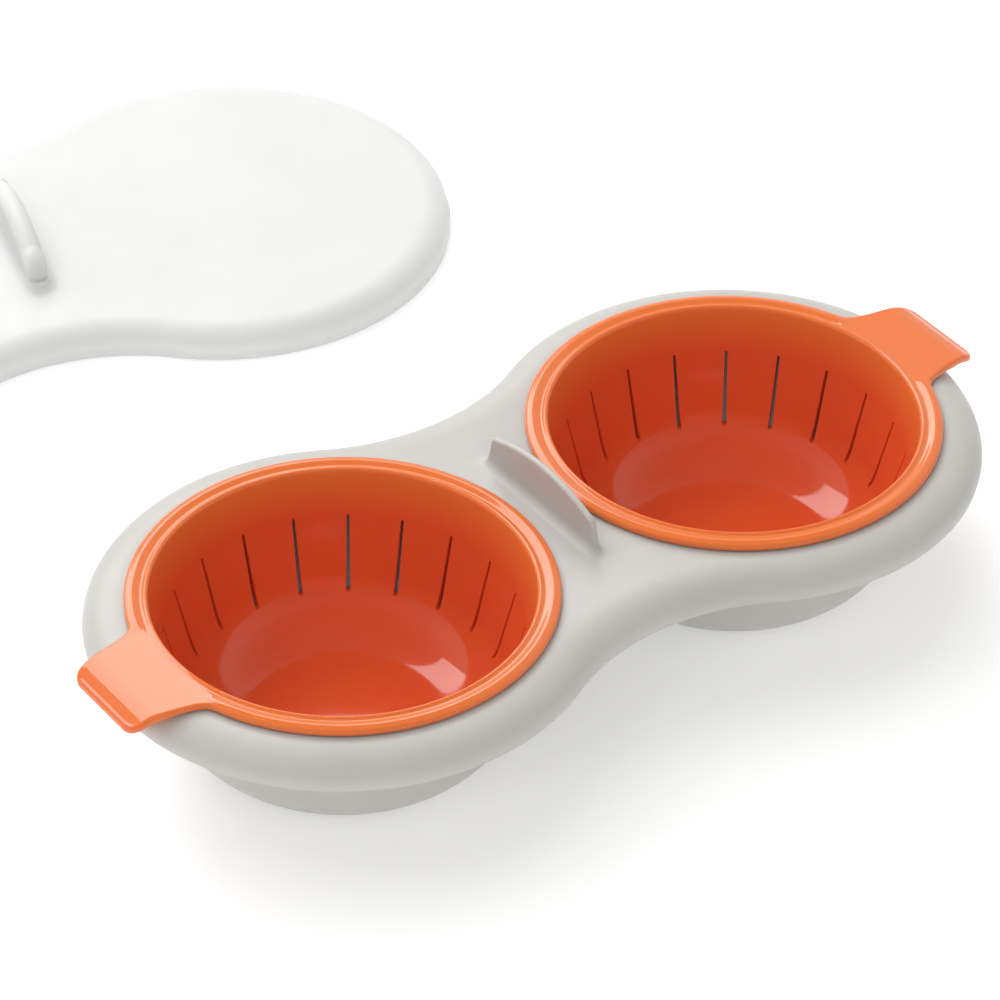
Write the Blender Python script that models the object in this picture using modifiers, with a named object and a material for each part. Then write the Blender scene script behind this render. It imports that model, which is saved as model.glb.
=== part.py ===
"""Two-cup egg poacher for a microwave oven, laid out for filling.

Two slotted poaching cups sit in the wells of a peanut-shaped tray, and the lid lies right side
up on the table behind them. Metres, +Z up. The table is z = 0 and the origin is the middle of
the laid-out set's footprint. +X runs along the tray, and the lid lies towards +Y.
"""
import math

import bmesh
import bpy
from mathutils import Matrix, Vector

# Heights of the assembled set, above the table
RIM_Z = 0.03875
DECK_Z = RIM_Z - 0.0012

# Both cups, both wells and both lobes of the lid share this distance from the waist
LOBE_OFFSET = 0.05324

# Tray: peanut-shaped deck with a rounded shoulder, carried by two wells
TRAY_END_RADIUS = 0.0562
TRAY_WAIST_HALF = 0.0425
TRAY_DEPTH = 0.0073
TRAY_SHOULDER = 0.0064
TRAY_WALL = 0.0015

# Wells: drafted wall, elliptic corner and flat foot
WELL_TOP_RADIUS = 0.0468
WELL_DRAFT = 0.294
WELL_CORNER = (0.0195, 0.01795)
WELL_WALL = 0.0015

# Fin across the tray's waist
FIN_HALF_LENGTH = 0.0199
FIN_TOP_HALF_LENGTH = 0.0188
FIN_CENTRE_Z = RIM_Z + 0.0103
FIN_END_Z = RIM_Z + 0.0073
FIN_CORNER = 0.0024
FIN_THICKNESS = 0.0016

# Poaching cups
CUP_RIM_RADIUS = 0.0417
CUP_DRAFT = 0.26
CUP_CORNER = (0.0185, 0.0141)
CUP_FLOOR_Z = RIM_Z - 0.03525
CUP_WALL = 0.0014

# Rim flange, as (distance out from the mouth, height over the rim): bead, valley, roll and edge
FLANGE_SECTION = (
    (0.0003, 0.0009),
    (0.0011, 0.0009),
    (0.0019, 0.0003),
    (0.0037, 0.0008),
    (0.0049, 0.0003),
    (0.0053, 0.0000),
    (0.0050, -0.0009),
)
FLANGE_BOTTOM = FLANGE_SECTION[-1][1]

# Steam slots through each cup's wall
SLOT_COUNT = 20
SLOT_WIDTH = 0.0011
SLOT_TOP_Z = RIM_Z - 0.0099
SLOT_BOTTOM_Z = RIM_Z - 0.0277
SLOT_INNER_RADIUS = 0.0300
SLOT_OUTER_RADIUS = 0.0450

# Finger tab of each cup, with its plan points as (distance from the cup's axis, half width)
TAB_ROOT = (0.0445, 0.0152)
TAB_FLARE = (0.0464, 0.0146)
TAB_NECK = (0.0494, 0.0133)
TAB_BEND = (0.0545, 0.0126)
TAB_END = (0.0613, 0.0118)
TAB_CORNER = 0.0030
TAB_THICKNESS = 0.0014
TAB_DROP = 0.0026
TAB_RIB = (0.0015, 0.0240, 0.0012)
TAB_RIB_X = 0.0541

# Lid, placed by its distance from the tray's centre and its turn about Z
LID_CENTRE = (-0.0201, 0.1907)
LID_TURN = math.radians(-16.1)
LID_END_RADIUS = 0.0566
LID_WAIST_HALF = 0.0424
LID_HEIGHT = 0.0078
LID_SHOULDER = 0.0054
LID_WALL = 0.0015
NOTCH_HALF = 0.0136
NOTCH_HEIGHT = 0.0050
NOTCH_DEPTH = 0.0080
GRIP_HALF_LENGTH = 0.0222
GRIP_TOP_HALF_LENGTH = 0.0213
GRIP_CENTRE_Z = LID_HEIGHT + 0.0115
GRIP_END_Z = LID_HEIGHT + 0.0085
GRIP_CORNER = 0.0040
GRIP_THICKNESS = 0.0054
GRIP_ROUNDING = 0.0024

# Plastics
TRAY_GREY = (0.66, 0.65, 0.62)
CUP_ORANGE = (0.78, 0.075, 0.02)
LID_WHITE = (0.86, 0.87, 0.86)
LID_OPACITY = 0.8

# Facets
TURN_STEPS = 40
CORNER_STEPS = 4
SHOULDER_STEPS = 4
CROWN_STEPS = 8
LOBE_STEPS = 36
WAIST_STEPS = 8
TAB_STEPS = 5
GRIP_STEPS = 3
BEVEL_ANGLE = math.radians(50)
WELD_DISTANCE = 0.00001

# How far a cutting tool runs past the faces it meets
OVERRUN = 0.001

# The set's footprint, which puts the origin in its middle
FOOTPRINT_LEFT = LID_CENTRE[0] - LOBE_OFFSET * math.cos(LID_TURN) - LID_END_RADIUS
FOOTPRINT_RIGHT = LOBE_OFFSET + TAB_END[0]
FOOTPRINT_FRONT = -TRAY_END_RADIUS
FOOTPRINT_BACK = LID_CENTRE[1] - LOBE_OFFSET * math.sin(LID_TURN) + LID_END_RADIUS
TRAY_X = -(FOOTPRINT_LEFT + FOOTPRINT_RIGHT) / 2
TRAY_Y = -(FOOTPRINT_FRONT + FOOTPRINT_BACK) / 2


def clear_scene():
    for item in list(bpy.data.objects):
        bpy.data.objects.remove(item, do_unlink=True)


def make_collection(name):
    collection = bpy.data.collections.new(name)
    bpy.context.scene.collection.children.link(collection)
    return collection


def plastic(name, colour, roughness, alpha=1.0):
    """A moulded plastic with one colour all through."""
    material = bpy.data.materials.new(name)
    material.use_nodes = True
    shader = material.node_tree.nodes["Principled BSDF"]
    shader.inputs["Base Color"].default_value = (*colour, 1.0)
    shader.inputs["Roughness"].default_value = roughness
    shader.inputs["Metallic"].default_value = 0.0
    shader.inputs["Alpha"].default_value = alpha
    return material


def add_part(name, mesh, material):
    """A named sub-part in the object's own collection."""
    part = bpy.data.objects.new(name, mesh)
    mesh.materials.append(material)
    PARTS.objects.link(part)
    return part


def add_tool(name, mesh):
    """A solid that cuts or joins a sub-part and isn't part of the object itself."""
    tool = bpy.data.objects.new(name, mesh)
    tool.hide_render = True
    tool.display_type = "WIRE"
    TOOLS.objects.link(tool)
    return tool


def follow(tool, part):
    """Parent a tool to its part, keeping its place relative to the part's origin."""
    tool.parent = part
    return tool


def boolean(part, tool, operation):
    modifier = part.modifiers.new(operation.title() + " " + tool.name, "BOOLEAN")
    modifier.operation = operation
    modifier.object = tool
    modifier.solver = "EXACT"


def screw(thing):
    """Turn a profile drawn at +X about the object's Z axis."""
    modifier = thing.modifiers.new("Screw", "SCREW")
    modifier.steps = TURN_STEPS
    modifier.render_steps = TURN_STEPS
    modifier.use_merge_vertices = True
    modifier.merge_threshold = WELD_DISTANCE
    modifier.use_smooth_shade = True


def solidify(thing, thickness, offset):
    modifier = thing.modifiers.new("Solidify", "SOLIDIFY")
    modifier.thickness = thickness
    modifier.offset = offset
    modifier.use_even_offset = True


def bevel(thing, width, segments):
    modifier = thing.modifiers.new("Bevel", "BEVEL")
    modifier.width = width
    modifier.segments = segments
    modifier.limit_method = "ANGLE"
    modifier.angle_limit = BEVEL_ANGLE
    modifier.use_clamp_overlap = True


def profile_mesh(name, points):
    """An open chain of edges through (radius, z) points in the XZ plane."""
    mesh = bpy.data.meshes.new(name)
    vertices = [(radius, 0.0, z) for radius, z in points]
    edges = [(i, i + 1) for i in range(len(vertices) - 1)]
    mesh.from_pydata(vertices, edges, [])
    return mesh


def outline_mesh(name, points, z, depth=0.0):
    """A flat sheet with the given plan outline, with a wall hanging from its edge if depth is set."""
    mesh = bpy.data.meshes.new(name)
    builder = bmesh.new()
    corners = [builder.verts.new((x, y, z)) for x, y in points]
    builder.faces.new(corners)
    if depth:
        wall = bmesh.ops.extrude_edge_only(builder, edges=builder.edges[:])
        lower = [item for item in wall["geom"] if isinstance(item, bmesh.types.BMVert)]
        bmesh.ops.translate(builder, verts=lower, vec=(0.0, 0.0, -depth))
    bmesh.ops.recalc_face_normals(builder, faces=builder.faces[:])
    builder.to_mesh(mesh)
    builder.free()
    return mesh


def boxes_mesh(name, boxes):
    """Separate boxes, each given as a size, a centre and a turn about Z through the origin."""
    mesh = bpy.data.meshes.new(name)
    builder = bmesh.new()
    for size, centre, turn in boxes:
        place = Matrix.Rotation(turn, 4, "Z") @ Matrix.Translation(centre)
        bmesh.ops.create_cube(builder, size=1.0, matrix=place @ Matrix.Diagonal((*size, 1.0)))
    builder.to_mesh(mesh)
    builder.free()
    return mesh


def arc(centre, radius, start, stop, steps):
    """Points along an arc, without the last one."""
    points = []
    for i in range(steps):
        angle = start + (stop - start) * i / steps
        points.append((centre[0] + radius * math.cos(angle), centre[1] + radius * math.sin(angle)))
    return points


def peanut_outline(end_radius, waist_half):
    """Two round lobes joined by concave waists that meet them tangentially, anticlockwise."""
    spread = LOBE_OFFSET ** 2 + waist_half ** 2 - end_radius ** 2
    waist_radius = spread / (2 * (end_radius - waist_half))
    waist_y = waist_half + waist_radius
    lean = math.atan2(waist_y, LOBE_OFFSET)
    reach = math.pi - lean
    points = arc((LOBE_OFFSET, 0.0), end_radius, -reach, reach, LOBE_STEPS)
    points += arc((0.0, waist_y), waist_radius, -lean, lean - math.pi, WAIST_STEPS)
    points += arc((-LOBE_OFFSET, 0.0), end_radius, math.pi - reach, math.pi + reach, LOBE_STEPS)
    points += arc((0.0, -waist_y), waist_radius, math.pi - lean, lean, WAIST_STEPS)
    return points


def bowl_profile(top, draft, corner, floor_z):
    """Drafted wall, elliptic corner and flat floor, from the top edge to the axis."""
    start = math.atan(draft * corner[1] / corner[0])
    centre_z = floor_z + corner[1]
    join_z = centre_z - corner[1] * math.sin(start)
    join_radius = top[0] - draft * (top[1] - join_z)
    centre_radius = join_radius - corner[0] * math.cos(start)
    points = [top]
    for i in range(CORNER_STEPS + 1):
        angle = start + (math.pi / 2 - start) * i / CORNER_STEPS
        radius = centre_radius + corner[0] * math.cos(angle)
        points.append((radius, centre_z - corner[1] * math.sin(angle)))
    points.append((0.0, floor_z))
    return points


def well_body(name, inset, top_z, floor_z):
    """Turned solid of one well, or of its hollow where inset is the wall's thickness."""
    corner = (WELL_CORNER[0] - inset, WELL_CORNER[1] - inset)
    top_radius = WELL_TOP_RADIUS - inset + WELL_DRAFT * (top_z - DECK_Z)
    profile = [(0.0, top_z)] + bowl_profile((top_radius, top_z), WELL_DRAFT, corner, floor_z)
    well = add_tool(name, profile_mesh(name, profile))
    screw(well)
    return well


def arched_plate(name, half_lengths, heights, corner, root_z, thickness):
    """Upright plate in the YZ plane: leaning ends, rounded corners and an arched top edge.

    half_lengths are at the root and at the top, heights at the middle and at the corners.
    """
    half = half_lengths[1] - corner
    side = [(half_lengths[0], root_z)]
    side += arc((half, heights[1] - corner), corner, 0.0, math.pi / 2, CORNER_STEPS)
    rise = heights[0] - heights[1]
    radius = (half ** 2 + rise ** 2) / (2 * rise)
    sweep = math.asin(half / radius)
    crown_centre = (0.0, heights[0] - radius)
    crown = arc(crown_centre, radius, math.pi / 2 - sweep, math.pi / 2 + sweep, CROWN_STEPS)
    outline = side + crown + [(-half, heights[1])] + [(-y, z) for y, z in reversed(side)]
    mesh = bpy.data.meshes.new(name)
    builder = bmesh.new()
    builder.faces.new([builder.verts.new((0.0, y, z)) for y, z in outline])
    builder.to_mesh(mesh)
    builder.free()
    plate = add_tool(name, mesh)
    solidify(plate, thickness, 0.0)
    return plate


def make_fin():
    """Fin that stands across the waist between the cups."""
    half_lengths = (FIN_HALF_LENGTH, FIN_TOP_HALF_LENGTH)
    heights = (FIN_CENTRE_Z, FIN_END_Z)
    root_z = DECK_Z - TRAY_WALL / 2
    return arched_plate("fin_body", half_lengths, heights, FIN_CORNER, root_z, FIN_THICKNESS)


def make_tray():
    """Deck and skirt joined with the two wells and the fin, then hollowed."""
    outline = peanut_outline(TRAY_END_RADIUS, TRAY_WAIST_HALF)
    mesh = outline_mesh("tray", outline, DECK_Z, TRAY_DEPTH)
    tray = add_part("tray", mesh, plastic("tray_grey", TRAY_GREY, 0.45))
    tray.location = (TRAY_X, TRAY_Y, 0.0)
    bevel(tray, TRAY_SHOULDER, SHOULDER_STEPS)
    solidify(tray, TRAY_WALL, -1.0)
    bodies = []
    hollows = []
    for side, sign in (("left", -1), ("right", 1)):
        body = follow(well_body(f"well_{side}_body", 0.0, DECK_Z - TRAY_WALL / 2, 0.0), tray)
        hollow = follow(well_body(f"well_{side}_hollow", WELL_WALL, DECK_Z + TRAY_WALL, WELL_WALL), tray)
        body.location.x = sign * LOBE_OFFSET
        hollow.location.x = sign * LOBE_OFFSET
        bodies.append(body)
        hollows.append(hollow)
    for body in bodies + [follow(make_fin(), tray)]:
        boolean(tray, body, "UNION")
    for hollow in hollows:
        boolean(tray, hollow, "DIFFERENCE")
    return tray


def cup_profile():
    """Closed section of a cup: floor, inner wall, rim flange, outer wall and underside."""
    outer_corner = (CUP_CORNER[0] + CUP_WALL, CUP_CORNER[1] + CUP_WALL)
    flange_z = RIM_Z + FLANGE_BOTTOM
    outer_top = (CUP_RIM_RADIUS + CUP_WALL + CUP_DRAFT * FLANGE_BOTTOM, flange_z)
    inner = bowl_profile((CUP_RIM_RADIUS, RIM_Z), CUP_DRAFT, CUP_CORNER, CUP_FLOOR_Z)
    outer = bowl_profile(outer_top, CUP_DRAFT, outer_corner, CUP_FLOOR_Z - CUP_WALL)
    flange = [(CUP_RIM_RADIUS + out, RIM_Z + rise) for out, rise in FLANGE_SECTION]
    return inner[::-1] + flange + outer


def tab_outline():
    """Plan outline of a finger tab: flared root, waisted neck and rounded end corners."""
    end_x, end_half = TAB_END
    corner_centre = (end_x - TAB_CORNER, end_half - TAB_CORNER)
    side = [TAB_ROOT, TAB_FLARE, TAB_NECK, TAB_BEND]
    side += arc(corner_centre, TAB_CORNER, math.pi / 2, 0.0, CORNER_STEPS)
    side += [(end_x, corner_centre[1])]
    return [(x, -y) for x, y in side] + side[::-1]


def make_tab(name):
    """Finger tab that runs out level from the flange and curls down at its end."""
    run = TAB_END[0] + OVERRUN - TAB_BEND[0]
    top_z = RIM_Z + FLANGE_BOTTOM + TAB_THICKNESS
    spine = [(TAB_ROOT[0], top_z)]
    for i in range(TAB_STEPS + 1):
        part = i / TAB_STEPS
        spine.append((TAB_BEND[0] + run * part, top_z - TAB_DROP * part ** 2))
    mesh = bpy.data.meshes.new(name)
    builder = bmesh.new()
    half_width = TAB_ROOT[1] + OVERRUN
    near = [builder.verts.new((x, -half_width, z)) for x, z in spine]
    far = [builder.verts.new((x, half_width, z)) for x, z in spine]
    for i in range(len(spine) - 1):
        builder.faces.new((near[i], near[i + 1], far[i + 1], far[i]))
    builder.to_mesh(mesh)
    builder.free()
    tab = add_tool(name, mesh)
    solidify(tab, TAB_THICKNESS, -1.0)
    blank_z = spine[-1][1] - TAB_THICKNESS - OVERRUN
    blank = add_tool(name + "_plan", outline_mesh(name + "_plan", tab_outline(), blank_z))
    solidify(blank, top_z + OVERRUN - blank_z, 1.0)
    boolean(tab, follow(blank, tab), "INTERSECT")
    return tab


def make_slots(name):
    """Ring of upright blades, the first of them on the cup's +X side."""
    size = (SLOT_OUTER_RADIUS - SLOT_INNER_RADIUS, SLOT_WIDTH, SLOT_TOP_Z - SLOT_BOTTOM_Z)
    middle = (SLOT_OUTER_RADIUS + SLOT_INNER_RADIUS) / 2
    centre = Vector((middle, 0.0, (SLOT_TOP_Z + SLOT_BOTTOM_Z) / 2))
    blades = [(size, centre, 2 * math.pi * i / SLOT_COUNT) for i in range(SLOT_COUNT)]
    return add_tool(name, boxes_mesh(name, blades))


def make_cup(side, sign):
    """One poaching cup, with its tab pointing away from the tray's waist."""
    name = f"poaching_cup_{side}"
    colour = plastic(f"cup_orange_{side}", CUP_ORANGE, 0.22)
    cup = add_part(name, profile_mesh(name, cup_profile()), colour)
    cup.location = (TRAY_X + sign * LOBE_OFFSET, TRAY_Y, 0.0)
    cup.rotation_euler.z = 0.0 if sign > 0 else math.pi
    screw(cup)
    boolean(cup, follow(make_tab(f"tab_{side}"), cup), "UNION")
    rib_top = RIM_Z + FLANGE_BOTTOM + TAB_THICKNESS / 2
    rib_centre = Vector((TAB_RIB_X, 0.0, rib_top - TAB_RIB[2] / 2))
    rib_mesh = boxes_mesh(f"rib_{side}", [(TAB_RIB, rib_centre, 0.0)])
    boolean(cup, follow(add_tool(f"rib_{side}", rib_mesh), cup), "UNION")
    boolean(cup, follow(make_slots(f"slots_{side}"), cup), "DIFFERENCE")
    return cup


def grip_body(name, inset, root_z):
    """Arched grip across the lid's waist, or its hollow where inset is the wall's thickness."""
    half_lengths = (GRIP_HALF_LENGTH - inset, GRIP_TOP_HALF_LENGTH - inset)
    heights = (GRIP_CENTRE_Z - inset, GRIP_END_Z - inset)
    thickness = GRIP_THICKNESS - 2 * inset
    grip = arched_plate(name, half_lengths, heights, GRIP_CORNER - inset, root_z, thickness)
    bevel(grip, GRIP_ROUNDING - inset, GRIP_STEPS)
    return grip


def make_notches():
    """Blocks that open the foot of the skirt at both ends, where the cups' tabs pass out."""
    size = (2 * NOTCH_DEPTH, 2 * NOTCH_HALF, 2 * NOTCH_HEIGHT)
    centre = Vector((LOBE_OFFSET + LID_END_RADIUS, 0.0, 0.0))
    return add_tool("notches", boxes_mesh("notches", [(size, centre, turn) for turn in (0.0, math.pi)]))


def make_lid():
    """Shallow shell with a rounded shoulder, end notches and a hollow grip, lying on its skirt."""
    outline = peanut_outline(LID_END_RADIUS, LID_WAIST_HALF)
    mesh = outline_mesh("lid", outline, LID_HEIGHT, LID_HEIGHT)
    lid = add_part("lid", mesh, plastic("lid_frosted", LID_WHITE, 0.5, LID_OPACITY))
    lid.location = (TRAY_X + LID_CENTRE[0], TRAY_Y + LID_CENTRE[1], 0.0)
    lid.rotation_euler.z = LID_TURN
    bevel(lid, LID_SHOULDER, SHOULDER_STEPS)
    solidify(lid, LID_WALL, -1.0)
    body = grip_body("grip_body", 0.0, 0.0)
    underside = LID_HEIGHT - LID_WALL / 2
    trim_size = (GRIP_THICKNESS + 2 * OVERRUN, 2 * (GRIP_HALF_LENGTH + OVERRUN), underside + OVERRUN)
    trim_centre = Vector((0.0, 0.0, (underside - OVERRUN) / 2))
    trim_mesh = boxes_mesh("grip_trim", [(trim_size, trim_centre, 0.0)])
    trim = follow(add_tool("grip_trim", trim_mesh), body)
    boolean(body, trim, "DIFFERENCE")
    boolean(lid, follow(body, lid), "UNION")
    boolean(lid, follow(grip_body("grip_hollow", LID_WALL, -LID_HEIGHT), lid), "DIFFERENCE")
    boolean(lid, follow(make_notches(), lid), "DIFFERENCE")
    return lid


clear_scene()
PARTS = make_collection("egg_poacher")
TOOLS = make_collection("tools")
make_tray()
make_cup("left", -1)
make_cup("right", 1)
make_lid()
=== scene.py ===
import math

import bmesh
import bpy
from mathutils import Matrix, Vector
from mathutils.geometry import tessellate_polygon


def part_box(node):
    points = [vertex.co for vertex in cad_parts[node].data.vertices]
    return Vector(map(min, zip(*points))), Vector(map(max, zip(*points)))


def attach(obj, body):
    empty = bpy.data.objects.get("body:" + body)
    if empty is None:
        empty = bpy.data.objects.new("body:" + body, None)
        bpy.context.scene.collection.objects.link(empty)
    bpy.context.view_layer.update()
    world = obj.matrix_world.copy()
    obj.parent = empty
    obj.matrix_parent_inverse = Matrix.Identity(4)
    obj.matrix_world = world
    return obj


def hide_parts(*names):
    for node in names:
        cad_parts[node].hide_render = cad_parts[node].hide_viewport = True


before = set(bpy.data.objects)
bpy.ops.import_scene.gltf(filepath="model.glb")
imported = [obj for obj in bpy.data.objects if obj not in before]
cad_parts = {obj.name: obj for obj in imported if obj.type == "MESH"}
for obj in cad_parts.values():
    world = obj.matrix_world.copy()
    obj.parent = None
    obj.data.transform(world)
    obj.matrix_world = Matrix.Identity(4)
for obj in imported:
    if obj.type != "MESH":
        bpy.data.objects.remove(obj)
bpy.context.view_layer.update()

# The moulded plastic pieces of a two-cup egg poacher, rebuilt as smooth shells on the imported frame.
# Shapes are worked out in millimetres about each piece's own centre, and scaled when they are placed.

MM = 0.001

# Heights above the table
RIM = 38.75
DECK = RIM - 1.2

# Both lobes of the tray and of the lid lie this far from the waist
LOBE = 53.24

# Tray; the fin's half lengths are at its root and top, its heights at its middle and corners
TRAY_END = 56.14
TRAY_WAIST = 42.5
TRAY_SHOULDER = (7.8, 5.8)
TRAY_WALL = 1.5
TRAY_FOOT_INSET = 0.80
TRAY_FOOT_RADIUS = 0.65
SKIRT_FOOT = DECK - 7.3
WELL_TOP = 46.8
WELL_DRAFT = 0.294
WELL_CORNER = (19.5, 17.95)
WELL_MOUTH_ROUND = 0.6
WELL_ROOT_ROUND = 1.0
FIN_HALF_LENGTHS = (19.9, 18.8)
FIN_HALF_WIDTH = 0.8
FIN_HEIGHTS = (RIM + 10.3, RIM + 7.3)
FIN_CORNER = 2.4
FIN_FILLET = 2.2

# Cups
CUP_RIM = 41.7
CUP_DRAFT = 0.26
CUP_CORNER = (18.5, 14.1)
CUP_FLOOR = RIM - 35.25
CUP_WALL = 1.4
CUP_LIP_CORNER = (CUP_RIM + 0.16, RIM + 0.62)
FLANGE = 47.0
FLANGE_TOP = 0.30
FLANGE_DEPTH = 0.9
FLANGE_EDGE = 0.85
FLANGE_LOW_EDGE = 0.35
FLANGE_NECK = CUP_RIM + CUP_WALL + 0.9
NECK_DEPTH = 1.7
NECK_INSET = 0.23

# Swellings of the flange as (height, radius, width)
INNER_BEAD = (0.50, 42.45, 0.60)
OUTER_ROLL = (0.55, 45.30, 1.25)

# Finger tabs, drawn along +X
TAB_ROOT_ANGLE = math.radians(20.5)
TAB_END = 61.3
TAB_FLARE = ((44.6, 14.95), (47.6, 14.1))
TAB_SIDE = ((49.6, 13.6), (53.0, 12.9), (57.6, 12.15))
TAB_TIP = ((57.9, 12.1), (TAB_END - 0.2, 11.7), (TAB_END, 8.6))
TAB_END_YS = (6.5, 4.3, 2.2, 0.0)
TAB_BEND = 54.5
TAB_DROP = 2.6
TAB_TOP = 0.5
TAB_THICKNESS = 1.75

# Round the flange the tab has faded out at this many root angles, over this many of them
TAB_FADE_END = 1.12
TAB_FADE = 0.34

# Where the tab's own shape starts to take over, and the width of that change
TAB_RISE = (42.6, 2.2)
TAB_THICKENING = (51.0, 3.0)
TAB_UNDERSIDE = (FLANGE, 2.0)

# Steam slots: widest at their lower end, cut by blades that reach between these radii
SLOT_COUNT = 20
SLOT_TOP = RIM - 9.9
SLOT_BOTTOM = RIM - 27.7
SLOT_TOP_HALF = 0.33
SLOT_BOTTOM_HALF = 0.50
BLADE_RADII = (30.0, 45.0)

# Lid, standing on its own foot; the grip is given like the fin
LID_END = 56.52
LID_WAIST = 42.4
LID_HEIGHT = 7.8
LID_SHOULDER = (6.6, 4.9)
LID_WALL = 1.5
LID_FOOT_INSET = 0.78
LID_FOOT_RADIUS = 0.72
LID_TURN = math.radians(-16.1)
GRIP_HALF_LENGTHS = (22.2, 21.3)
GRIP_HALF_WIDTH = 2.7
GRIP_HEIGHTS = (LID_HEIGHT + 11.5, LID_HEIGHT + 8.5)
GRIP_CORNER = 6.5
GRIP_FILLET = 2.6
NOTCH_HALF = 13.6
NOTCH_HEIGHT = 5.0
NOTCH_DEPTH = 5.0
NOTCH_CORNER = 1.6
NOTCH_OVERRUN = 5.0

# Flat ring kept between a rounded shoulder and the face it runs into
SHOULDER_MARGIN = 0.8

# A ridge's last ring closes this far, so that its two sides stay just apart
CREST_CLOSING = 0.999

# How finely curves are stepped
LOBE_STEPS = 150
WAIST_STEPS = 40
TURN_STEPS = 144
RIDGE_STEPS = 72
FLANGE_STEPS = 22
SHOULDER_STEPS = 18
CUP_STEPS = 16
BOWL_STEPS = 14
END_STEPS = 12
LIP_STEPS = 10
SMALL_STEPS = 8
EDGE_STEPS = 5
TINY_STEPS = 4

# Shell points closer than this are one point, and faces meeting over this angle keep a crisp edge
MERGE_DISTANCE = 0.002
SHARP_ANGLE = math.radians(38)

# Noise values that stand for the two ends of a range, and noise's share in a tone set by height
NOISE_LOW = 0.3
NOISE_HIGH = 0.7
NOISE_SHARE = 0.1

# Tones, and how rough each surface is
TRAY_TONES = ((0.475, 0.466, 0.442), (0.500, 0.491, 0.467))
TRAY_ROUGHNESS = (0.36, 0.46)
# The cup's tones are painted light and shade. The first, darker red, goes low down as shade. The second,
# lighter orange, goes on the top as light shining through the rim. The heights below set where one gives
# way to the other.
CUP_SHADE_AND_GLOW_TONES = ((0.670, 0.088, 0.028), (0.750, 0.180, 0.042))
CUP_PAINTED_LIGHT_HEIGHTS = (0.029, 0.039)
CUP_ROUGHNESS = (0.05, 0.09)
LID_TONES = ((0.720, 0.723, 0.722), (0.745, 0.748, 0.747))
LID_ROUGHNESS = (0.42, 0.54)
LID_ALPHA = 0.86
FLOOR_TONES = ((0.895, 0.896, 0.898), (0.905, 0.906, 0.908))
FLOOR_ROUGHNESS = (0.85, 0.95)
FLOOR_GLOW = 0.27
FLOOR_SIZE = 12.0

# World: tones by height of view, and strength along a level direction
WORLD_HORIZON = (0.80, 0.78, 0.75)
WORLD_OVERHEAD = (0.16, 0.16, 0.17)
WORLD_HEIGHTS = (0.62, 0.94)
WORLD_BACK = (0.59, 0.81, 0.0)
WORLD_DIM_SPAN = (-0.8, 0.1)
WORLD_STRENGTHS = (0.30, 1.0)

# Camera: its lens in millimetres, its angles, and its place in metres from the tray's centre
LENS = 176.81
SENSOR = 36.0
CLIP = (0.05, 50.0)
PITCH = math.radians(37.93)
YAW = math.radians(36.281)
ROLL = math.radians(0.584)
EYE_PLACE = (-0.51066, -0.67975, 0.70183)


# ---------------------------------------------------------------- outlines and sections


def between(a, b, t):
    """The value a part t of the way from a to b."""
    return a + (b - a) * t


def spread(start, stop, steps):
    """Evenly spaced values from start to stop, both included."""
    return [between(start, stop, i / steps) for i in range(steps + 1)]


def smooth(t):
    """An eased step from 0 to 1."""
    t = min(max(t, 0.0), 1.0)
    return t * t * (3.0 - 2.0 * t)


def take_over(value, change):
    """0 before a change, 1 after it; the change is where it starts and how wide it is."""
    start, width = change
    return smooth((value - start) / width)


def bend(first, corner, last, steps):
    """Points round a corner that is tangent to both its legs, both ends included."""
    points = []
    for t in spread(0.0, 1.0, steps):
        one = Vector(first).lerp(Vector(corner), t)
        other = Vector(corner).lerp(Vector(last), t)
        points.append(tuple(one.lerp(other, t)))
    return points


def circle(angles, radius, z, centre=(0.0, 0.0)):
    """Points on a level circle at those angles."""
    return [(centre[0] + radius * math.cos(a), centre[1] + radius * math.sin(a), z) for a in angles]


def full_turn(count):
    """Evenly spaced angles round a circle."""
    return [2 * math.pi * i / count for i in range(count)]


def peanut(end, waist, inset, z):
    """Closed outline of two lobes and two concave waists, drawn inwards by inset."""
    neck = (LOBE ** 2 + waist ** 2 - end ** 2) / (2 * (end - waist))
    neck_y = waist + neck
    lean = math.atan2(neck_y, LOBE)
    reach = math.pi - lean
    arcs = (
        ((LOBE, 0.0), end - inset, -reach, reach, LOBE_STEPS),
        ((0.0, neck_y), neck + inset, -lean, lean - math.pi, WAIST_STEPS),
        ((-LOBE, 0.0), end - inset, math.pi - reach, math.pi + reach, LOBE_STEPS),
        ((0.0, -neck_y), neck + inset, math.pi - lean, lean, WAIST_STEPS),
    )
    points = []
    for centre, radius, start, stop, steps in arcs:
        points += circle(spread(start, stop, steps)[:-1], radius, z, centre)
    return points


def bowl(top, draft, corner, floor, steps):
    """Section of a drafted wall and an elliptic corner, from the top edge to the flat floor."""
    start = math.atan(draft * corner[1] / corner[0])
    centre_z = floor + corner[1]
    join_z = centre_z - corner[1] * math.sin(start)
    join = top[0] - draft * (top[1] - join_z)
    centre = join - corner[0] * math.cos(start)
    section = [(between(top[0], join, t), between(top[1], join_z, t)) for t in spread(0, 1, steps)]
    for angle in spread(start, math.pi / 2, steps)[1:]:
        section.append((centre + corner[0] * math.cos(angle), centre_z - corner[1] * math.sin(angle)))
    return section


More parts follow.
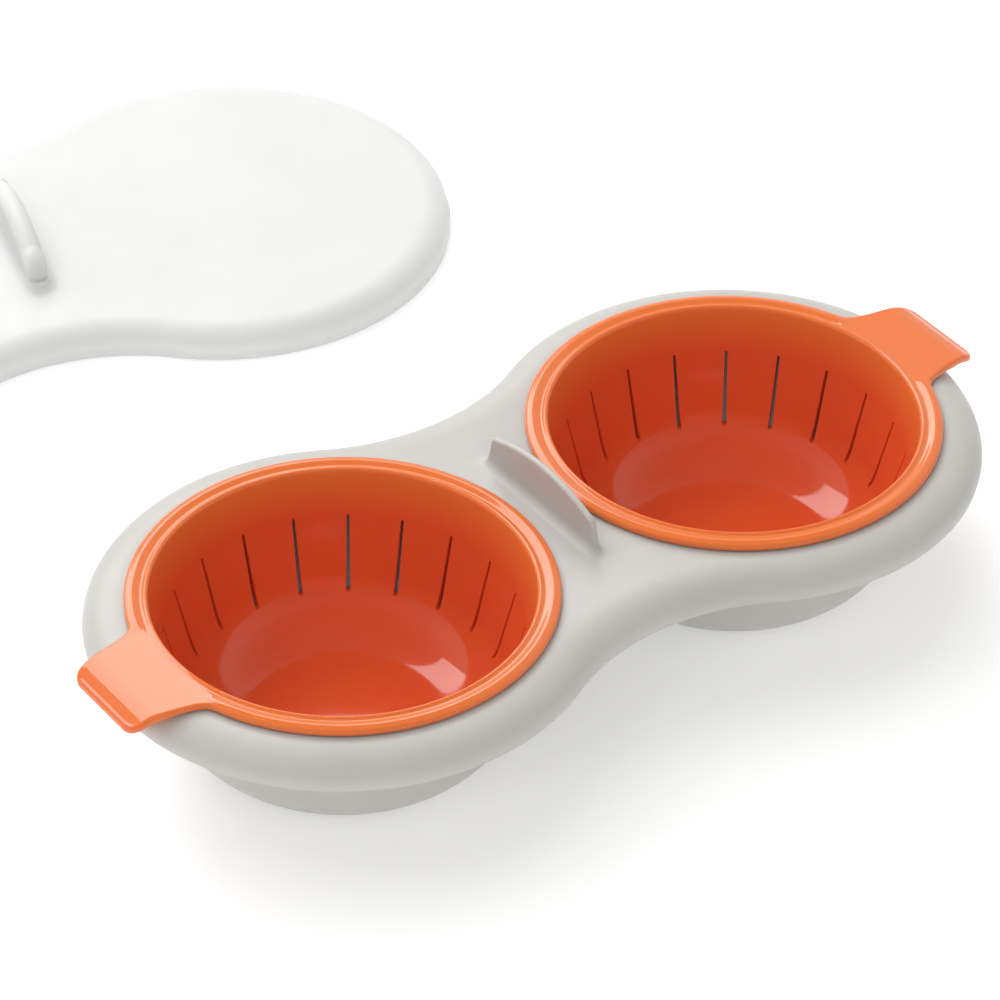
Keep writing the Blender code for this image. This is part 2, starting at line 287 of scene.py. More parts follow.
def stadium(half_length, half_width, z):
    """Closed outline of a bar along Y with round ends; z may be a function of y."""
    straight = half_length - half_width
    ys = [-straight * math.cos(math.pi * i / RIDGE_STEPS) for i in range(RIDGE_STEPS)]
    points = [(half_width, y) for y in ys]
    points += [(half_width * math.cos(a), straight + half_width * math.sin(a))
               for a in spread(0.0, math.pi, END_STEPS)[:-1]]
    points += [(-half_width, -y) for y in ys]
    points += [(-half_width * math.cos(a), -straight - half_width * math.sin(a))
               for a in spread(0.0, math.pi, END_STEPS)[:-1]]
    return [(x, y, z(y) if callable(z) else z) for x, y in points]


# ---------------------------------------------------------------- shells


def round_pairs(ring):
    """Each item of a closed ring with the one after it."""
    return zip(ring, ring[1:] + ring[:1])


class Shell:
    """The surface of one moulding, gathered as rings of points and the faces between them."""

    def __init__(self):
        self.points = []
        self.faces = []

    def ring(self, points):
        """Add points and return their numbers."""
        first = len(self.points)
        self.points.extend(points)
        return list(range(first, len(self.points)))

    def bridge(self, one, other):
        """Faces between two closed rings of as many points."""
        for (a, b), (c, d) in zip(round_pairs(one), round_pairs(other)):
            self.faces.append((a, b, d, c))

    def sweep(self, rings, start=None):
        """Join rings of points in order, from an existing ring if start is given, and return the last."""
        last = start
        for points in rings:
            made = self.ring(points)
            if last is not None:
                self.bridge(last, made)
            last = made
        return last

    def fill(self, *loops):
        """Flat triangles inside the first loop and outside the others."""
        order = [i for loop in loops for i in loop]
        corners = [[Vector(self.points[i]) for i in loop] for loop in loops]
        for triangle in tessellate_polygon(corners):
            self.faces.append(tuple(order[i] for i in triangle))

    def fan(self, ring, centre):
        """Triangles from a closed ring to one point."""
        tip = self.ring([centre])[0]
        for a, b in round_pairs(ring):
            self.faces.append((a, b, tip))

    def build(self, name, place, turn=0.0):
        """A closed, smooth-shaded object at that place, in metres."""
        mesh = bpy.data.meshes.new(name)
        mesh.from_pydata([tuple(MM * c for c in point) for point in self.points], [], self.faces)
        builder = bmesh.new()
        builder.from_mesh(mesh)
        bmesh.ops.remove_doubles(builder, verts=builder.verts[:], dist=MERGE_DISTANCE * MM)
        bmesh.ops.recalc_face_normals(builder, faces=builder.faces[:])
        builder.to_mesh(mesh)
        builder.free()
        piece = bpy.data.objects.new(name, mesh)
        bpy.context.scene.collection.objects.link(piece)
        piece.location = place
        piece.rotation_euler.z = turn
        bpy.context.view_layer.update()
        return piece


def cut(piece, cutter):
    """Cut one object out of another for good."""
    modifier = piece.modifiers.new("Cut", "BOOLEAN")
    modifier.operation = "DIFFERENCE"
    modifier.object = cutter
    modifier.solver = "EXACT"
    bpy.context.view_layer.update()
    depsgraph = bpy.context.evaluated_depsgraph_get()
    mesh = bpy.data.meshes.new_from_object(piece.evaluated_get(depsgraph))
    piece.modifiers.clear()
    piece.data = mesh
    bpy.data.objects.remove(cutter, do_unlink=True)


def finish_piece(piece, material, body, node):
    """Settle the piece in place, shade it, dress it and let it stand for its CAD node."""
    piece.data.transform(piece.matrix_world)
    piece.matrix_world = Matrix.Identity(4)
    piece.data.materials.clear()
    piece.data.materials.append(material)
    piece.data.shade_smooth()
    piece.data.set_sharp_from_angle(angle=SHARP_ANGLE)
    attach(piece, body)
    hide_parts(node)


# ---------------------------------------------------------------- the tray


def ridge(shell, half_lengths, half_width, heights, corner, foot, fillet):
    """An arched fin that grows out of a flat face through a fillet. Returns the loop round its foot.

    half_lengths are at its root and its top, heights at its middle and its corners.
    """
    half = half_lengths[1] - corner
    rise = heights[0] - heights[1]
    crown = (half ** 2 + rise ** 2) / (2 * rise)

    def top(y):
        y = min(abs(y), half_lengths[1])
        if y <= half:
            return heights[0] - crown + math.sqrt(crown ** 2 - y ** 2)
        return heights[1] - corner + math.sqrt(max(corner ** 2 - (y - half) ** 2, 0.0))

    rings = []
    for angle in spread(0.0, math.pi / 2, SMALL_STEPS if fillet else 1):
        grow = fillet * (1 - math.sin(angle))
        z = foot + math.copysign(fillet * (1 - math.cos(angle)), heights[0] - foot)
        rings.append(stadium(half_lengths[0] + grow, half_width + grow, z))
    root = rings[-1][0][2]
    for t in spread(0.0, 1.0, SMALL_STEPS)[1:]:
        length = between(half_lengths[0], half_lengths[1], t)
        rings.append(stadium(length, half_width, lambda y: between(root, top(y) - half_width, t)))
    for angle in spread(0.0, math.pi / 2, SMALL_STEPS)[1:]:
        shrink = half_width * (1 - math.cos(angle)) * CREST_CLOSING
        lift = half_width * math.sin(angle)
        rings.append(stadium(half_lengths[1] - shrink, half_width - shrink,
                             lambda y: top(y) - half_width + lift))
    loop = shell.ring(rings[0])
    last = shell.sweep(rings[1:], loop)
    close_crest(shell, last)
    return loop


def close_crest(shell, ring):
    """Join the two nearly touching sides of a ridge's last ring."""
    count = len(ring)
    far_side = 2 * RIDGE_STEPS + END_STEPS
    right = [ring[i % count] for i in range(0, RIDGE_STEPS + 1)]
    left = [ring[i % count] for i in range(far_side, RIDGE_STEPS + END_STEPS - 1, -1)]
    for i in range(RIDGE_STEPS):
        shell.faces.append((right[i], right[i + 1], left[i + 1], left[i]))
    top_end = [ring[i % count] for i in range(RIDGE_STEPS, RIDGE_STEPS + END_STEPS + 1)]
    low_end = [ring[i % count] for i in range(far_side, count + 1)]
    shell.faces.append(tuple(top_end))
    shell.faces.append(tuple(low_end))


def shoulder_section():
    """Tray edge as (inset, z): over the shoulder, round the skirt's foot and back up inside."""
    a, b = TRAY_SHOULDER
    low = DECK - b
    section = [(a + SHOULDER_MARGIN, DECK)]
    section += [(a * (1 - math.sin(t)), low + b * math.cos(t))
                for t in spread(0.0, math.pi / 2, SHOULDER_STEPS)]
    middle, radius = TRAY_FOOT_INSET, TRAY_FOOT_RADIUS
    lip = SKIRT_FOOT + radius
    section += [(middle - radius * math.cos(t), lip - radius * math.sin(t))
                for t in spread(0, math.pi, SMALL_STEPS)]
    inner = (a - TRAY_WALL, b - TRAY_WALL)
    section += [(a - inner[0] * math.sin(t), low + inner[1] * math.cos(t))
                for t in spread(math.pi / 2, 0.0, END_STEPS)]
    return section


def build_tray(material):
    """The shoulder and skirt round two wells, and the fin between them. Returns the CAD tray's centre."""
    shell = Shell()
    section = shoulder_section()
    deck_edge = shell.ring(peanut(TRAY_END, TRAY_WAIST, *section[0]))
    under_edge = shell.sweep([peanut(TRAY_END, TRAY_WAIST, *row) for row in section[1:]], deck_edge)
    mouths = []
    roots = []
    for side in (-1, 1):
        mouth, root = build_well(shell, (side * LOBE, 0.0))
        mouths.append(mouth)
        roots.append(root)
    fin = ridge(shell, FIN_HALF_LENGTHS, FIN_HALF_WIDTH, FIN_HEIGHTS, FIN_CORNER, DECK, FIN_FILLET)
    shell.fill(deck_edge, *mouths, fin)
    shell.fill(under_edge, *roots)
    low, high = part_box("tray")
    centre = (low + high) / 2
    piece = shell.build("tray_moulding", (centre.x, centre.y, 0.0))
    finish_piece(piece, material, "tray", "tray")
    return centre


def build_well(shell, centre):
    """One well's inside and outside. Returns its mouth in the deck and its root under the deck."""
    turn = full_turn(TURN_STEPS)
    inner_corner = (WELL_CORNER[0] - TRAY_WALL, WELL_CORNER[1] - TRAY_WALL)
    mouth = WELL_TOP - TRAY_WALL
    inner_top = (mouth - WELL_MOUTH_ROUND * WELL_DRAFT, DECK - WELL_MOUTH_ROUND)
    inside = bend((mouth + WELL_MOUTH_ROUND, DECK), (mouth, DECK), inner_top, TINY_STEPS)[:-1]
    inside += bowl(inner_top, WELL_DRAFT, inner_corner, TRAY_WALL, BOWL_STEPS)
    mouth_ring = shell.ring(circle(turn, inside[0][0], inside[0][1], centre))
    last = shell.sweep([circle(turn, r, z, centre) for r, z in inside[1:]], mouth_ring)
    shell.fan(last, (*centre, TRAY_WALL))
    under = DECK - TRAY_WALL
    outer = WELL_TOP - TRAY_WALL * WELL_DRAFT
    wall_top = (outer - WELL_ROOT_ROUND * WELL_DRAFT, under - WELL_ROOT_ROUND)
    outside = bend((outer + WELL_ROOT_ROUND, under), (outer, under), wall_top, TINY_STEPS)[:-1]
    outside += bowl(wall_top, WELL_DRAFT, WELL_CORNER, 0.0, BOWL_STEPS)
    root_ring = shell.ring(circle(turn, outside[0][0], outside[0][1], centre))
    last = shell.sweep([circle(turn, r, z, centre) for r, z in outside[1:]], root_ring)
    shell.fan(last, (*centre, 0.0))
    return mouth_ring, root_ring


# ---------------------------------------------------------------- the cups


def tab_side():
    """Half of the finger tab's plan outline, from the flange's circle to the middle of its end."""
    root = (FLANGE * math.cos(TAB_ROOT_ANGLE), FLANGE * math.sin(TAB_ROOT_ANGLE))
    outline = bend(root, *TAB_FLARE, SMALL_STEPS)
    outline += bend(*TAB_SIDE, SMALL_STEPS)
    outline += bend(*TAB_TIP, LIP_STEPS)
    outline += [(TAB_END, y) for y in TAB_END_YS]
    return outline


def resample(points, count):
    """Points evenly spaced by length along a path, both ends included."""
    lengths = [0.0]
    for a, b in zip(points, points[1:]):
        lengths.append(lengths[-1] + math.dist(a, b))
    result = []
    k = 0
    for target in spread(0.0, lengths[-1], count - 1):
        while k < len(points) - 2 and lengths[k + 1] < target:
            k += 1
        span = lengths[k + 1] - lengths[k]
        t = min((target - lengths[k]) / span, 1.0) if span else 0.0
        result.append(tuple(between(a, b, t) for a, b in zip(points[k], points[k + 1])))
    return result


def flange_plan():
    """Column angles round a cup, its outer boundary and how much each column belongs to the tab."""
    tab_columns, round_columns = 97, 208
    half = resample(tab_side(), tab_columns // 2 + 1)
    tab = [(x, -y) for x, y in half][:-1] + half[::-1]
    angles = spread(-TAB_ROOT_ANGLE, TAB_ROOT_ANGLE, len(tab) - 1)
    boundary = list(tab)
    rest = spread(TAB_ROOT_ANGLE, 2 * math.pi - TAB_ROOT_ANGLE, round_columns)[1:-1]
    angles += rest
    boundary += [(FLANGE * math.cos(a), FLANGE * math.sin(a)) for a in rest]
    return angles, boundary


def plan_normals(boundary):
    """Outward directions along a closed outline."""
    normals = []
    count = len(boundary)
    for i in range(count):
        before, after = boundary[i - 1], boundary[(i + 1) % count]
        run = (after[0] - before[0], after[1] - before[1])
        length = math.hypot(*run)
        normals.append((run[1] / length, -run[0] / length))
    return normals


def tab_height(x):
    """Height of the tab's top face over the rim plane, curling down towards its end."""
    t = max(x - TAB_BEND, 0.0) / (TAB_END - TAB_BEND)
    return TAB_TOP - TAB_DROP * t ** 2


def tab_weight(angle):
    """1 in the middle of the tab, 0 on the plain flange."""
    angle = abs((angle + math.pi) % (2 * math.pi) - math.pi)
    return smooth((TAB_ROOT_ANGLE * TAB_FADE_END - angle) / (TAB_ROOT_ANGLE * TAB_FADE))


def swelling(across, height, radius, width):
    """Height of a soft round swelling at some radius across the flange."""
    return height * math.exp(-((across - radius) / width) ** 2)


def flange_top(radius):
    """Height of the plain flange's top face: inner bead, shallow valley, outer roll."""
    return FLANGE_TOP + swelling(radius, *INNER_BEAD) + swelling(radius, *OUTER_ROLL)


def top_rows(angles, boundary, normals):
    """Rows of points across the flange's top and out along the tab, up to the rounded edge."""
    start = INNER_BEAD[1]
    rows = []
    for t in spread(0.0, 1.0, FLANGE_STEPS):
        row = []
        for angle, point, normal in zip(angles, boundary, normals):
            inner = (start * math.cos(angle), start * math.sin(angle))
            outer = (point[0] - normal[0] * FLANGE_EDGE, point[1] - normal[1] * FLANGE_EDGE)
            x, y = between(inner[0], outer[0], t), between(inner[1], outer[1], t)
            radius = math.hypot(x, y)
            plain = flange_top(min(radius, FLANGE - FLANGE_EDGE))
            weight = tab_weight(angle) * take_over(radius, TAB_RISE)
            row.append((x, y, RIM + between(plain, tab_height(x), weight)))
        rows.append(row)
    return rows


def edge_row(boundary, normals, back, heights):
    """Points set back from the boundary along its normals, at those heights."""
    return [(point[0] - normal[0] * back, point[1] - normal[1] * back, height)
            for point, normal, height in zip(boundary, normals, heights)]


def edge_rows(angles, boundary, normals, top):
    """Rows of points round the upper edge, down the thickness and round the lower edge."""
    rows = []
    heights = [point[2] for point in top]
    for turn in spread(0.0, math.pi / 2, EDGE_STEPS)[1:]:
        drop = FLANGE_EDGE * (1 - math.cos(turn))
        back = FLANGE_EDGE * (1 - math.sin(turn))
        rows.append(edge_row(boundary, normals, back, [z - drop for z in heights]))
    thickness = []
    for angle, point, height in zip(angles, boundary, heights):
        weight = tab_weight(angle) * take_over(point[0], TAB_THICKENING)
        thickness.append(between(height - RIM + FLANGE_DEPTH, TAB_THICKNESS, weight))
    for turn in spread(math.pi / 2, 0.0, TINY_STEPS):
        rise = FLANGE_LOW_EDGE * (1 - math.cos(turn))
        back = FLANGE_LOW_EDGE * (1 - math.sin(turn))
        lows = [z - thick + rise for z, thick in zip(heights, thickness)]
        rows.append(edge_row(boundary, normals, back, lows))
    return rows


def under_rows(angles, edge):
    """Rows of points from the lower edge back under the tab and the flange to the cup's neck."""
    rows = []
    for t in spread(0.0, 1.0, END_STEPS)[1:]:
        row = []
        for angle, point in zip(angles, edge):
            inner = (FLANGE_NECK * math.cos(angle), FLANGE_NECK * math.sin(angle))
            x, y = between(point[0], inner[0], t), between(point[1], inner[1], t)
            weight = tab_weight(angle) * take_over(math.hypot(x, y), TAB_UNDERSIDE)
            thick = between(TAB_TOP + FLANGE_DEPTH, TAB_THICKNESS, take_over(x, TAB_THICKENING))
            row.append((x, y, RIM + between(-FLANGE_DEPTH, tab_height(x) - thick, weight)))
        rows.append(row)
    return rows


def build_cup(name, body, node, side, tray_centre, material):
    """One slotted cup, with its tab on its own +X side and that side turned outwards."""
    shell = Shell()
    angles, boundary = flange_plan()
    normals = plan_normals(boundary)
    inside = bowl((CUP_RIM, RIM), CUP_DRAFT, CUP_CORNER, CUP_FLOOR, CUP_STEPS)[::-1]
    floor_edge = shell.ring(circle(angles, *inside[0]))
    shell.fan(floor_edge, (0.0, 0.0, CUP_FLOOR))
    bead = INNER_BEAD[1]
    lip = bend((CUP_RIM, RIM), CUP_LIP_CORNER, (bead, RIM + flange_top(bead)), EDGE_STEPS)
    last = shell.sweep([circle(angles, r, z) for r, z in inside[1:-1] + lip[:-1]], floor_edge)
    top = top_rows(angles, boundary, normals)
    edge = edge_rows(angles, boundary, normals, top[-1])
    under = under_rows(angles, edge[-1])
    last = shell.sweep(top + edge + under, last)
    outer = CUP_RIM + CUP_WALL
    low = RIM - FLANGE_DEPTH
    wall_top = (outer - CUP_DRAFT * NECK_DEPTH, RIM - NECK_DEPTH)
    outside = bend((FLANGE_NECK, low), (outer - NECK_INSET, low), wall_top, TINY_STEPS)[1:-1]
    corner = (CUP_CORNER[0] + CUP_WALL, CUP_CORNER[1] + CUP_WALL)
    outside += bowl(wall_top, CUP_DRAFT, corner, CUP_FLOOR - CUP_WALL, BOWL_STEPS)
    last = shell.sweep([circle(angles, r, z) for r, z in outside], last)
    shell.fan(last, (0.0, 0.0, CUP_FLOOR - CUP_WALL))
    place = (tray_centre.x + side * LOBE * MM, tray_centre.y, 0.0)
    piece = shell.build(name, place, 0.0 if side > 0 else math.pi)
    cut(piece, slot_blades(piece))
    finish_piece(piece, material, body, node)


def slot_blades(cup):
    """Tapered blades with round ends, one for each steam slot."""
    shell = Shell()
    ends = ((SLOT_TOP - SLOT_TOP_HALF, SLOT_TOP_HALF, 0.0),
            (SLOT_BOTTOM + SLOT_BOTTOM_HALF, SLOT_BOTTOM_HALF, math.pi))
    for angle in full_turn(SLOT_COUNT):
        outline = []
        for middle, half, start in ends:
            outline += [(half * math.cos(start + t), middle + half * math.sin(start + t))
                        for t in spread(0.0, math.pi, SMALL_STEPS)]
        faces = []
        for radius in BLADE_RADII:
            ring = []
            for across, z in outline:
                x = radius * math.cos(angle) - across * math.sin(angle)
                y = radius * math.sin(angle) + across * math.cos(angle)
                ring.append((x, y, z))
            faces.append(shell.ring(ring))
        shell.bridge(*faces)
        shell.faces.append(tuple(faces[0]))
        shell.faces.append(tuple(faces[1]))
    return shell.build("slot_blades", cup.location, cup.rotation_euler.z)


# ---------------------------------------------------------------- the lid


def lid_section():
    """Lid edge as (inset, z): over the shoulder, down the skirt, round its lip and back up inside."""
    a, b = LID_SHOULDER
    low = LID_HEIGHT - b
    section = [(a + SHOULDER_MARGIN, LID_HEIGHT)]
    section += [(a * (1 - math.sin(t)), low + b * math.cos(t))
                for t in spread(0.0, math.pi / 2, SHOULDER_STEPS)]
    middle, radius = LID_FOOT_INSET, LID_FOOT_RADIUS
    section += [(middle - radius * math.cos(t), radius * (1 - math.sin(t)))
                for t in spread(0, math.pi, LIP_STEPS)]
    inner = (a - LID_WALL, b - LID_WALL)
    section += [(a - inner[0] * math.sin(t), low + inner[1] * math.cos(t))
                for t in spread(math.pi / 2, 0.0, BOWL_STEPS)]
    return section


def build_lid(material):
    """The lid on its own foot: a shallow shell with a hollow grip and two notches for the tabs."""
    shell = Shell()
    section = lid_section()
    top_edge = shell.ring(peanut(LID_END, LID_WAIST, *section[0]))
    under_edge = shell.sweep([peanut(LID_END, LID_WAIST, *row) for row in section[1:]], top_edge)
    grip = ridge(shell, GRIP_HALF_LENGTHS, GRIP_HALF_WIDTH, GRIP_HEIGHTS, GRIP_CORNER, LID_HEIGHT,
                 GRIP_FILLET)
    lengths = tuple(length - LID_WALL for length in GRIP_HALF_LENGTHS)
    heights = tuple(height - LID_WALL for height in GRIP_HEIGHTS)
    hollow = ridge(shell, lengths, GRIP_HALF_WIDTH - LID_WALL, heights, GRIP_CORNER - LID_WALL,
                   LID_HEIGHT - LID_WALL, 0.0)
    shell.fill(top_edge, grip)
    shell.fill(under_edge, hollow)
    low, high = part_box("lid")
    centre = (low + high) / 2
    piece = shell.build("lid_moulding", (centre.x, centre.y, 0.0), LID_TURN)
    cut(piece, notch_blocks(piece))
    finish_piece(piece, material, "lid", "lid")


def notch_blocks(lid):
    """Blocks with rounded upper corners that open the skirt's foot at both ends."""
    shell = Shell()
    corner = NOTCH_CORNER
    outline = [(-NOTCH_HALF, -NOTCH_OVERRUN), (NOTCH_HALF, -NOTCH_OVERRUN)]
    outline += [(NOTCH_HALF - corner * (1 - math.cos(t)), NOTCH_HEIGHT - corner * (1 - math.sin(t)))
                for t in spread(0.0, math.pi / 2, SMALL_STEPS)]
    outline += [(corner * (1 - math.sin(t)) - NOTCH_HALF, NOTCH_HEIGHT - corner * (1 - math.cos(t)))
                for t in spread(0.0, math.pi / 2, SMALL_STEPS)]
    for side in (-1, 1):
        rings = []
        for x in (LOBE + LID_END - NOTCH_DEPTH, LOBE + LID_END + NOTCH_OVERRUN):
            rings.append(shell.ring([(side * x, side * y, z) for y, z in outline]))
        shell.bridge(*rings)
        shell.faces.append(tuple(rings[0]))
        shell.faces.append(tuple(rings[1]))
    return shell.build("notch_blocks", lid.location, lid.rotation_euler.z)


# ---------------------------------------------------------------- materials


class Plastic:
    """A moulded plastic whose tone, gloss and surface wander a little, as real mouldings' do."""

    def __init__(self, name):
        self.material = bpy.data.materials.new(name)
        self.material.use_nodes = True
        self.nodes = self.material.node_tree.nodes
        self.links = self.material.node_tree.links
        self.shader = self.nodes["Principled BSDF"]
        self.place = self.nodes.new("ShaderNodeTexCoord").outputs["Object"]

    def noise(self, scale, detail):
        """Soft noise with that many patches to the metre."""
        noise = self.nodes.new("ShaderNodeTexNoise")
        noise.inputs["Scale"].default_value = scale
        noise.inputs["Detail"].default_value = detail
        self.links.new(self.place, noise.inputs["Vector"])
        return noise.outputs["Fac"]

    def tones(self, factor, low, high):
        """Colour between two tones."""
        ramp = self.nodes.new("ShaderNodeValToRGB")
        ramp.color_ramp.elements[0].position = NOISE_LOW
        ramp.color_ramp.elements[0].color = (*low, 1.0)
        ramp.color_ramp.elements[1].position = NOISE_HIGH
        ramp.color_ramp.elements[1].color = (*high, 1.0)
        self.links.new(factor, ramp.inputs["Fac"])
        self.links.new(ramp.outputs["Color"], self.shader.inputs["Base Color"])

    def painted_light_by_height(self, factor, heights, shade_tone, glow_tone):
        """Painted light and shade by height: colour goes from a darker painted-shade tone low in the
        piece to a lighter painted-glow tone at its slim top, as if light shone through the top, with a
        little noise.
        """
        axes = self.nodes.new("ShaderNodeSeparateXYZ")
        self.links.new(self.place, axes.inputs["Vector"])
        rise = self.nodes.new("ShaderNodeMapRange")
        rise.inputs["From Min"].default_value, rise.inputs["From Max"].default_value = heights
        rise.inputs["To Max"].default_value = 1.0 - NOISE_SHARE
        self.links.new(axes.outputs["Z"], rise.inputs["Value"])
        blend = self.nodes.new("ShaderNodeMath")
        blend.operation = "MULTIPLY_ADD"
        blend.inputs[1].default_value = NOISE_SHARE
        self.links.new(factor, blend.inputs[0])
        self.links.new(rise.outputs["Result"], blend.inputs[2])
        ramp = self.nodes.new("ShaderNodeValToRGB")
        ramp.color_ramp.elements[0].color = (*shade_tone, 1.0)
        ramp.color_ramp.elements[1].color = (*glow_tone, 1.0)
        self.links.new(blend.outputs["Value"], ramp.inputs["Fac"])
        self.links.new(ramp.outputs["Color"], self.shader.inputs["Base Color"])

    def gloss(self, factor, low, high):
        """Roughness between two values."""
        span = self.nodes.new("ShaderNodeMapRange")
        span.inputs["From Min"].default_value = NOISE_LOW
        span.inputs["From Max"].default_value = NOISE_HIGH
        span.inputs["To Min"].default_value = low
        span.inputs["To Max"].default_value = high
        self.links.new(factor, span.inputs["Value"])
        self.links.new(span.outputs["Result"], self.shader.inputs["Roughness"])

    def glow_within(self, weight, radius, scale):
        """Light that spreads under the surface, by colour, over scale metres."""
        self.shader.inputs["Subsurface Weight"].default_value = weight
        self.shader.inputs["Subsurface Radius"].default_value = radius
        self.shader.inputs["Subsurface Scale"].default_value = scale

    def relief(self, layers):
        """Bumps, each a factor and its height in metres."""
        normal = None
        for factor, height in layers:
            bump = self.nodes.new("ShaderNodeBump")
            bump.inputs["Strength"].default_value = 1.0
            bump.inputs["Distance"].default_value = height
            self.links.new(factor, bump.inputs["Height"])
            if normal is not None:
                self.links.new(normal, bump.inputs["Normal"])
            normal = bump.outputs["Normal"]
        self.links.new(normal, self.shader.inputs["Normal"])


def tray_material():
    """Light warm grey with a fine satin grain."""
    plastic = Plastic("tray_plastic")
    plastic.tones(plastic.noise(45.0, 3.0), *TRAY_TONES)
    plastic.gloss(plastic.noise(120.0, 4.0), *TRAY_ROUGHNESS)
    plastic.relief([(plastic.noise(2600.0, 2.0), 0.000012), (plastic.noise(60.0, 1.0), 0.00004)])
    return plastic.material


def cup_material():
    """Glossy orange, slightly see-through at its slim edges, with painted light: lighter orange on its
    top as light shining through, darker red lower down as painted shade.
    """
    plastic = Plastic("cup_plastic")
    # Painted light: the height ramp paints shade low in the cup and light on its top rim.
    plastic.painted_light_by_height(plastic.noise(55.0, 3.0), CUP_PAINTED_LIGHT_HEIGHTS, *CUP_SHADE_AND_GLOW_TONES)
    plastic.gloss(plastic.noise(90.0, 4.0), *CUP_ROUGHNESS)
    plastic.relief([(plastic.noise(1800.0, 2.0), 0.0000015), (plastic.noise(70.0, 1.0), 0.00002)])
    plastic.glow_within(0.25, (1.0, 0.25, 0.08), 0.002)
    return plastic.material


def lid_material():
    """Frosted milky plastic that lets some light through."""
    plastic = Plastic("lid_plastic")
    plastic.tones(plastic.noise(40.0, 3.0), *LID_TONES)
    plastic.gloss(plastic.noise(150.0, 4.0), *LID_ROUGHNESS)
    plastic.relief([(plastic.noise(2200.0, 2.0), 0.000014), (plastic.noise(50.0, 1.0), 0.00003)])
    plastic.shader.inputs["Alpha"].default_value = LID_ALPHA
    plastic.glow_within(0.6, (1.0, 1.0, 1.0), 0.003)
    return plastic.material


def floor_material():
    """White matt paper with a little light of its own, which keeps its shadows pale."""
    paper = Plastic("floor_paper")
    paper.tones(paper.noise(6.0, 3.0), *FLOOR_TONES)
    paper.gloss(paper.noise(30.0, 3.0), *FLOOR_ROUGHNESS)
    paper.relief([(paper.noise(900.0, 3.0), 0.00001)])
    paper.shader.inputs["Specular IOR Level"].default_value = 0.1
    paper.shader.inputs["Emission Color"].default_value = (1.0, 1.0, 1.0, 1.0)
    paper.shader.inputs["Emission Strength"].default_value = FLOOR_GLOW
    return paper.material


# ---------------------------------------------------------------- the object

tray_centre = build_tray(tray_material())
cup_orange = cup_material()
build_cup("poaching_cup_left_moulding", "cup_left", "poaching_cup_left", -1, tray_centre, cup_orange)
build_cup("poaching_cup_right_moulding", "cup_right", "poaching_cup_right", 1, tray_centre, cup_orange)
build_lid(lid_material())


# ---------------------------------------------------------------- floor, light and camera


def build_floor():
    builder = bmesh.new()
    bmesh.ops.create_grid(builder, x_segments=1, y_segments=1, size=FLOOR_SIZE)
    mesh = bpy.data.meshes.new("floor")
    builder.to_mesh(mesh)
    builder.free()
    floor = bpy.data.objects.new("floor", mesh)
    bpy.context.scene.collection.objects.link(floor)
    mesh.materials.append(floor_material())


def area_light(name, place, target, size, power, glossy=True):
    """A rectangular lamp aimed at its target; one that isn't glossy leaves no reflection."""
    light = bpy.data.lights.new(name, "AREA")
    light.shape = "RECTANGLE"
    light.size, light.size_y = size
    light.energy = power
    lamp = bpy.data.objects.new(name, light)
    bpy.context.scene.collection.objects.link(lamp)
    lamp.location = place
    lamp.rotation_euler = (Vector(target) - Vector(place)).to_track_quat("-Z", "Y").to_euler()
    lamp.visible_glossy = glossy


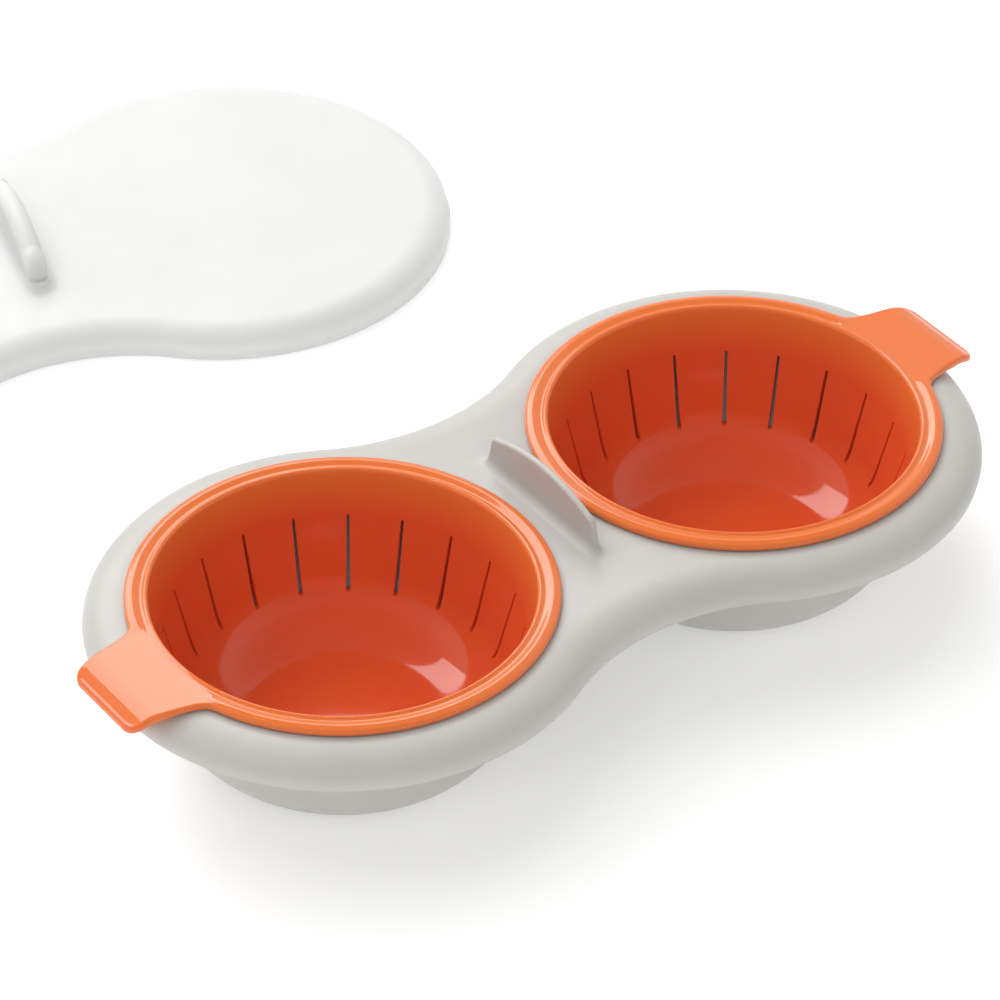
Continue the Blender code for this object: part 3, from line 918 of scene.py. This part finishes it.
def build_camera(tray_centre):
    """A long lens from the front left, looking down on the set."""
    camera = bpy.data.cameras.new("camera")
    camera.lens = LENS
    camera.sensor_width = SENSOR
    camera.clip_start, camera.clip_end = CLIP
    eye = bpy.data.objects.new("camera", camera)
    bpy.context.scene.collection.objects.link(eye)
    level = math.cos(PITCH)
    forward = Vector((math.sin(YAW) * level, math.cos(YAW) * level, -math.sin(PITCH)))
    right = Vector((math.cos(YAW), -math.sin(YAW), 0.0))
    up = right.cross(forward)
    across = right * math.cos(ROLL) + up * math.sin(ROLL)
    upright = up * math.cos(ROLL) - right * math.sin(ROLL)
    x, y, z = EYE_PLACE
    place = Vector((tray_centre.x + x, tray_centre.y + y, z))
    rows = [(across[i], upright[i], -forward[i], place[i]) for i in range(3)]
    eye.matrix_world = Matrix((*rows, (0.0, 0.0, 0.0, 1.0)))
    bpy.context.scene.camera = eye


def build_world():
    """A room that is pale near the horizon, dark overhead and dimmer on the camera's side."""
    world = bpy.data.worlds.new("studio")
    world.use_nodes = True
    nodes, links = world.node_tree.nodes, world.node_tree.links
    place = nodes.new("ShaderNodeTexCoord").outputs["Generated"]
    axes = nodes.new("ShaderNodeSeparateXYZ")
    links.new(place, axes.inputs["Vector"])
    ramp = nodes.new("ShaderNodeValToRGB")
    ramp.color_ramp.interpolation = "EASE"
    low, high = ramp.color_ramp.elements
    low.position, high.position = WORLD_HEIGHTS
    low.color, high.color = (*WORLD_HORIZON, 1.0), (*WORLD_OVERHEAD, 1.0)
    links.new(axes.outputs["Z"], ramp.inputs["Fac"])
    depth = nodes.new("ShaderNodeVectorMath")
    depth.operation = "DOT_PRODUCT"
    depth.inputs[1].default_value = WORLD_BACK
    links.new(place, depth.inputs[0])
    dim = nodes.new("ShaderNodeMapRange")
    dim.inputs["From Min"].default_value, dim.inputs["From Max"].default_value = WORLD_DIM_SPAN
    dim.inputs["To Min"].default_value, dim.inputs["To Max"].default_value = WORLD_STRENGTHS
    links.new(depth.outputs["Value"], dim.inputs["Value"])
    background = nodes["Background"]
    links.new(ramp.outputs["Color"], background.inputs["Color"])
    links.new(dim.outputs["Result"], background.inputs["Strength"])
    bpy.context.scene.world = world


build_floor()
build_world()
area_light("softbox", (0.16, 1.06, 1.00), (0.0, -0.08, 0.03), (1.15, 0.80), 12.0)
area_light("overhead", (-0.35, 0.45, 1.9), (0.0, 0.0, 0.0), (2.2, 2.2), 21.0, glossy=False)
area_light("front", (-0.95, -1.35, 1.25), (0.0, 0.0, 0.0), (1.8, 1.0), 13.0, glossy=False)
bpy.context.scene.view_settings.view_transform = "Standard"
build_camera(tray_centre)
